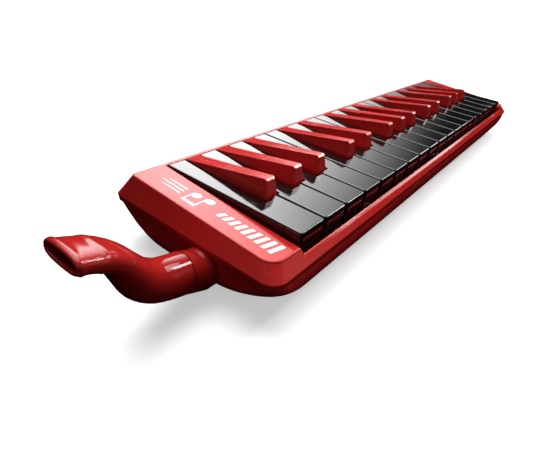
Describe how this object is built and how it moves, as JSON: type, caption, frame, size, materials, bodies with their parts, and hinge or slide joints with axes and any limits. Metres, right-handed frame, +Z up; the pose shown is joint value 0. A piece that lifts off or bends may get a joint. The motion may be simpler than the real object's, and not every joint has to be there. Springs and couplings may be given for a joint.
{
  "type": "melodica",
  "caption": "Hand-held keyboard reed instrument: long flat casing, hinged long and raised keys, and a curved blowing mouthpiece at the low-note end.",
  "frame": {"origin": "on the resting plane, under the middle of the casing", "axes": "+X along the keyboard to the high notes (the mouthpiece is at the low end), +Y away from the player, +Z up out of the keys"},
  "size_m": [0.4868, 0.1019, 0.0518],
  "materials": {
    "case_red": "polished moulding",
    "key_black": "polished moulding",
    "key_red": "polished moulding",
    "inner_grey": "moulded",
    "seal_rubber": "soft",
    "plate_brass": "milled",
    "reed_brass": "ground",
    "screw_steel": "plated",
    "rod_steel": "drawn",
    "spring_steel": "blued",
    "stop_felt": "pressed felt"
  },
  "bodies": {
    "case": {"air_chamber": "inner_grey", "bottom_cover": "case_red", "casing_screws": "screw_steel", "chamber_gasket": "seal_rubber", "comb_screws": "screw_steel", "drain_spring": "spring_steel", "inlet_gasket": "seal_rubber", "inlet_socket": "case_red", "long_key_felt": "stop_felt", "pivot_rod": "rod_steel", "raised_key_felt": "stop_felt", "reed_plate_high": "plate_brass", "reed_plate_low": "plate_brass", "reed_plate_screws": "screw_steel", "reeds_high": "reed_brass", "reeds_low": "reed_brass", "rod_saddles": "inner_grey", "spring_comb": "spring_steel", "top_cover": "case_red", "valve_deck": "inner_grey"},
    "long_key_01": {"long_key_01": "key_black"},
    "long_key_02": {"long_key_02": "key_black"},
    "long_key_03": {"long_key_03": "key_black"},
    "long_key_04": {"long_key_04": "key_black"},
    "long_key_05": {"long_key_05": "key_black"},
    "long_key_06": {"long_key_06": "key_black"},
    "long_key_07": {"long_key_07": "key_black"},
    "long_key_08": {"long_key_08": "key_black"},
    "long_key_09": {"long_key_09": "key_black"},
    "long_key_10": {"long_key_10": "key_black"},
    "long_key_11": {"long_key_11": "key_black"},
    "long_key_12": {"long_key_12": "key_black"},
    "long_key_13": {"long_key_13": "key_black"},
    "long_key_14": {"long_key_14": "key_black"},
    "long_key_15": {"long_key_15": "key_black"},
    "long_key_16": {"long_key_16": "key_black"},
    "long_key_17": {"long_key_17": "key_black"},
    "long_key_18": {"long_key_18": "key_black"},
    "long_key_19": {"long_key_19": "key_black"},
    "raised_key_01": {"raised_key_01": "key_red"},
    "raised_key_02": {"raised_key_02": "key_red"},
    "raised_key_03": {"raised_key_03": "key_red"},
    "raised_key_04": {"raised_key_04": "key_red"},
    "raised_key_05": {"raised_key_05": "key_red"},
    "raised_key_06": {"raised_key_06": "key_red"},
    "raised_key_07": {"raised_key_07": "key_red"},
    "raised_key_08": {"raised_key_08": "key_red"},
    "raised_key_09": {"raised_key_09": "key_red"},
    "raised_key_10": {"raised_key_10": "key_red"},
    "raised_key_11": {"raised_key_11": "key_red"},
    "raised_key_12": {"raised_key_12": "key_red"},
    "raised_key_13": {"raised_key_13": "key_red"},
    "spigot_ring": {"spigot_ring": "seal_rubber"},
    "mouthpiece": {"mouthpiece": "case_red"},
    "drain_button": {"drain_button": "key_black", "drain_seal": "seal_rubber"}
  },
  "joints": [
    {"name": "long_key_01_press", "type": "hinge", "parent": "case", "child": "long_key_01", "pos_m": [-0.18, 0.025, 0.0265], "axis": [1, 0, 0], "range_deg": [0, 3.75], "stiffness_Nm_per_rad": 0.22, "springref_deg": -6.88},
    {"name": "long_key_02_press", "type": "hinge", "parent": "case", "child": "long_key_02", "pos_m": [-0.16, 0.025, 0.0265], "axis": [1, 0, 0], "range_deg": [0, 3.75], "stiffness_Nm_per_rad": 0.22, "springref_deg": -6.88},
    {"name": "long_key_03_press", "type": "hinge", "parent": "case", "child": "long_key_03", "pos_m": [-0.14, 0.025, 0.0265], "axis": [1, 0, 0], "range_deg": [0, 3.75], "stiffness_Nm_per_rad": 0.22, "springref_deg": -6.88},
    {"name": "long_key_04_press", "type": "hinge", "parent": "case", "child": "long_key_04", "pos_m": [-0.12, 0.025, 0.0265], "axis": [1, 0, 0], "range_deg": [0, 3.75], "stiffness_Nm_per_rad": 0.22, "springref_deg": -6.88},
    {"name": "long_key_05_press", "type": "hinge", "parent": "case", "child": "long_key_05", "pos_m": [-0.1, 0.025, 0.0265], "axis": [1, 0, 0], "range_deg": [0, 3.75], "stiffness_Nm_per_rad": 0.22, "springref_deg": -6.88},
    {"name": "long_key_06_press", "type": "hinge", "parent": "case", "child": "long_key_06", "pos_m": [-0.08, 0.025, 0.0265], "axis": [1, 0, 0], "range_deg": [0, 3.75], "stiffness_Nm_per_rad": 0.22, "springref_deg": -6.88},
    {"name": "long_key_07_press", "type": "hinge", "parent": "case", "child": "long_key_07", "pos_m": [-0.06, 0.025, 0.0265], "axis": [1, 0, 0], "range_deg": [0, 3.75], "stiffness_Nm_per_rad": 0.22, "springref_deg": -6.88},
    {"name": "long_key_08_press", "type": "hinge", "parent": "case", "child": "long_key_08", "pos_m": [-0.04, 0.025, 0.0265], "axis": [1, 0, 0], "range_deg": [0, 3.75], "stiffness_Nm_per_rad": 0.22, "springref_deg": -6.88},
    {"name": "long_key_09_press", "type": "hinge", "parent": "case", "child": "long_key_09", "pos_m": [-0.02, 0.025, 0.0265], "axis": [1, 0, 0], "range_deg": [0, 3.75], "stiffness_Nm_per_rad": 0.22, "springref_deg": -6.88},
    {"name": "long_key_10_press", "type": "hinge", "parent": "case", "child": "long_key_10", "pos_m": [0, 0.025, 0.0265], "axis": [1, 0, 0], "range_deg": [0, 3.75], "stiffness_Nm_per_rad": 0.22, "springref_deg": -6.88},
    {"name": "long_key_11_press", "type": "hinge", "parent": "case", "child": "long_key_11", "pos_m": [0.02, 0.025, 0.0265], "axis": [1, 0, 0], "range_deg": [0, 3.75], "stiffness_Nm_per_rad": 0.22, "springref_deg": -6.88},
    {"name": "long_key_12_press", "type": "hinge", "parent": "case", "child": "long_key_12", "pos_m": [0.04, 0.025, 0.0265], "axis": [1, 0, 0], "range_deg": [0, 3.75], "stiffness_Nm_per_rad": 0.22, "springref_deg": -6.88},
    {"name": "long_key_13_press", "type": "hinge", "parent": "case", "child": "long_key_13", "pos_m": [0.06, 0.025, 0.0265], "axis": [1, 0, 0], "range_deg": [0, 3.75], "stiffness_Nm_per_rad": 0.22, "springref_deg": -6.88},
    {"name": "long_key_14_press", "type": "hinge", "parent": "case", "child": "long_key_14", "pos_m": [0.08, 0.025, 0.0265], "axis": [1, 0, 0], "range_deg": [0, 3.75], "stiffness_Nm_per_rad": 0.22, "springref_deg": -6.88},
    {"name": "long_key_15_press", "type": "hinge", "parent": "case", "child": "long_key_15", "pos_m": [0.1, 0.025, 0.0265], "axis": [1, 0, 0], "range_deg": [0, 3.75], "stiffness_Nm_per_rad": 0.22, "springref_deg": -6.88},
    {"name": "long_key_16_press", "type": "hinge", "parent": "case", "child": "long_key_16", "pos_m": [0.12, 0.025, 0.0265], "axis": [1, 0, 0], "range_deg": [0, 3.75], "stiffness_Nm_per_rad": 0.22, "springref_deg": -6.88},
    {"name": "long_key_17_press", "type": "hinge", "parent": "case", "child": "long_key_17", "pos_m": [0.14, 0.025, 0.0265], "axis": [1, 0, 0], "range_deg": [0, 3.75], "stiffness_Nm_per_rad": 0.22, "springref_deg": -6.88},
    {"name": "long_key_18_press", "type": "hinge", "parent": "case", "child": "long_key_18", "pos_m": [0.16, 0.025, 0.0265], "axis": [1, 0, 0], "range_deg": [0, 3.75], "stiffness_Nm_per_rad": 0.22, "springref_deg": -6.88},
    {"name": "long_key_19_press", "type": "hinge", "parent": "case", "child": "long_key_19", "pos_m": [0.18, 0.025, 0.0265], "axis": [1, 0, 0], "range_deg": [0, 3.75], "stiffness_Nm_per_rad": 0.22, "springref_deg": -6.88},
    {"name": "raised_key_01_press", "type": "hinge", "parent": "case", "child": "raised_key_01", "pos_m": [-0.17286, 0.025, 0.0265], "axis": [1, 0, 0], "range_deg": [0, 3.75], "stiffness_Nm_per_rad": 0.22, "springref_deg": -6.88},
    {"name": "raised_key_02_press", "type": "hinge", "parent": "case", "child": "raised_key_02", "pos_m": [-0.15, 0.025, 0.0265], "axis": [1, 0, 0], "range_deg": [0, 3.75], "stiffness_Nm_per_rad": 0.22, "springref_deg": -6.88},
    {"name": "raised_key_03_press", "type": "hinge", "parent": "case", "child": "raised_key_03", "pos_m": [-0.12714, 0.025, 0.0265], "axis": [1, 0, 0], "range_deg": [0, 3.75], "stiffness_Nm_per_rad": 0.22, "springref_deg": -6.88},
    {"name": "raised_key_04_press", "type": "hinge", "parent": "case", "child": "raised_key_04", "pos_m": [-0.092, 0.025, 0.0265], "axis": [1, 0, 0], "range_deg": [0, 3.75], "stiffness_Nm_per_rad": 0.22, "springref_deg": -6.88},
    {"name": "raised_key_05_press", "type": "hinge", "parent": "case", "child": "raised_key_05", "pos_m": [-0.068, 0.025, 0.0265], "axis": [1, 0, 0], "range_deg": [0, 3.75], "stiffness_Nm_per_rad": 0.22, "springref_deg": -6.88},
    {"name": "raised_key_06_press", "type": "hinge", "parent": "case", "child": "raised_key_06", "pos_m": [-0.03286, 0.025, 0.0265], "axis": [1, 0, 0], "range_deg": [0, 3.75], "stiffness_Nm_per_rad": 0.22, "springref_deg": -6.88},
    {"name": "raised_key_07_press", "type": "hinge", "parent": "case", "child": "raised_key_07", "pos_m": [-0.01, 0.025, 0.0265], "axis": [1, 0, 0], "range_deg": [0, 3.75], "stiffness_Nm_per_rad": 0.22, "springref_deg": -6.88},
    {"name": "raised_key_08_press", "type": "hinge", "parent": "case", "child": "raised_key_08", "pos_m": [0.01286, 0.025, 0.0265], "axis": [1, 0, 0], "range_deg": [0, 3.75], "stiffness_Nm_per_rad": 0.22, "springref_deg": -6.88},
    {"name": "raised_key_09_press", "type": "hinge", "parent": "case", "child": "raised_key_09", "pos_m": [0.048, 0.025, 0.0265], "axis": [1, 0, 0], "range_deg": [0, 3.75], "stiffness_Nm_per_rad": 0.22, "springref_deg": -6.88},
    {"name": "raised_key_10_press", "type": "hinge", "parent": "case", "child": "raised_key_10", "pos_m": [0.072, 0.025, 0.0265], "axis": [1, 0, 0], "range_deg": [0, 3.75], "stiffness_Nm_per_rad": 0.22, "springref_deg": -6.88},
    {"name": "raised_key_11_press", "type": "hinge", "parent": "case", "child": "raised_key_11", "pos_m": [0.10714, 0.025, 0.0265], "axis": [1, 0, 0], "range_deg": [0, 3.75], "stiffness_Nm_per_rad": 0.22, "springref_deg": -6.88},
    {"name": "raised_key_12_press", "type": "hinge", "parent": "case", "child": "raised_key_12", "pos_m": [0.13, 0.025, 0.0265], "axis": [1, 0, 0], "range_deg": [0, 3.75], "stiffness_Nm_per_rad": 0.22, "springref_deg": -6.88},
    {"name": "raised_key_13_press", "type": "hinge", "parent": "case", "child": "raised_key_13", "pos_m": [0.15286, 0.025, 0.0265], "axis": [1, 0, 0], "range_deg": [0, 3.75], "stiffness_Nm_per_rad": 0.22, "springref_deg": -6.88},
    {"name": "mouthpiece_pull", "type": "slide", "parent": "case", "child": "spigot_ring", "axis": [-0.9703, 0, 0.2419], "range_m": [0, 0.016]},
    {"name": "mouthpiece_twist", "type": "hinge", "parent": "spigot_ring", "child": "mouthpiece", "pos_m": [-0.226, -0.01, 0.0158], "axis": [-0.9703, 0, 0.2419], "range_deg": [-90, 90]},
    {"name": "drain_press", "type": "slide", "parent": "case", "child": "drain_button", "axis": [0, 0, 1], "range_m": [0, 0.0018], "stiffness_N_per_m": 450, "springref_m": -0.003, "deforming": ["drain_spring"]}
  ]
}
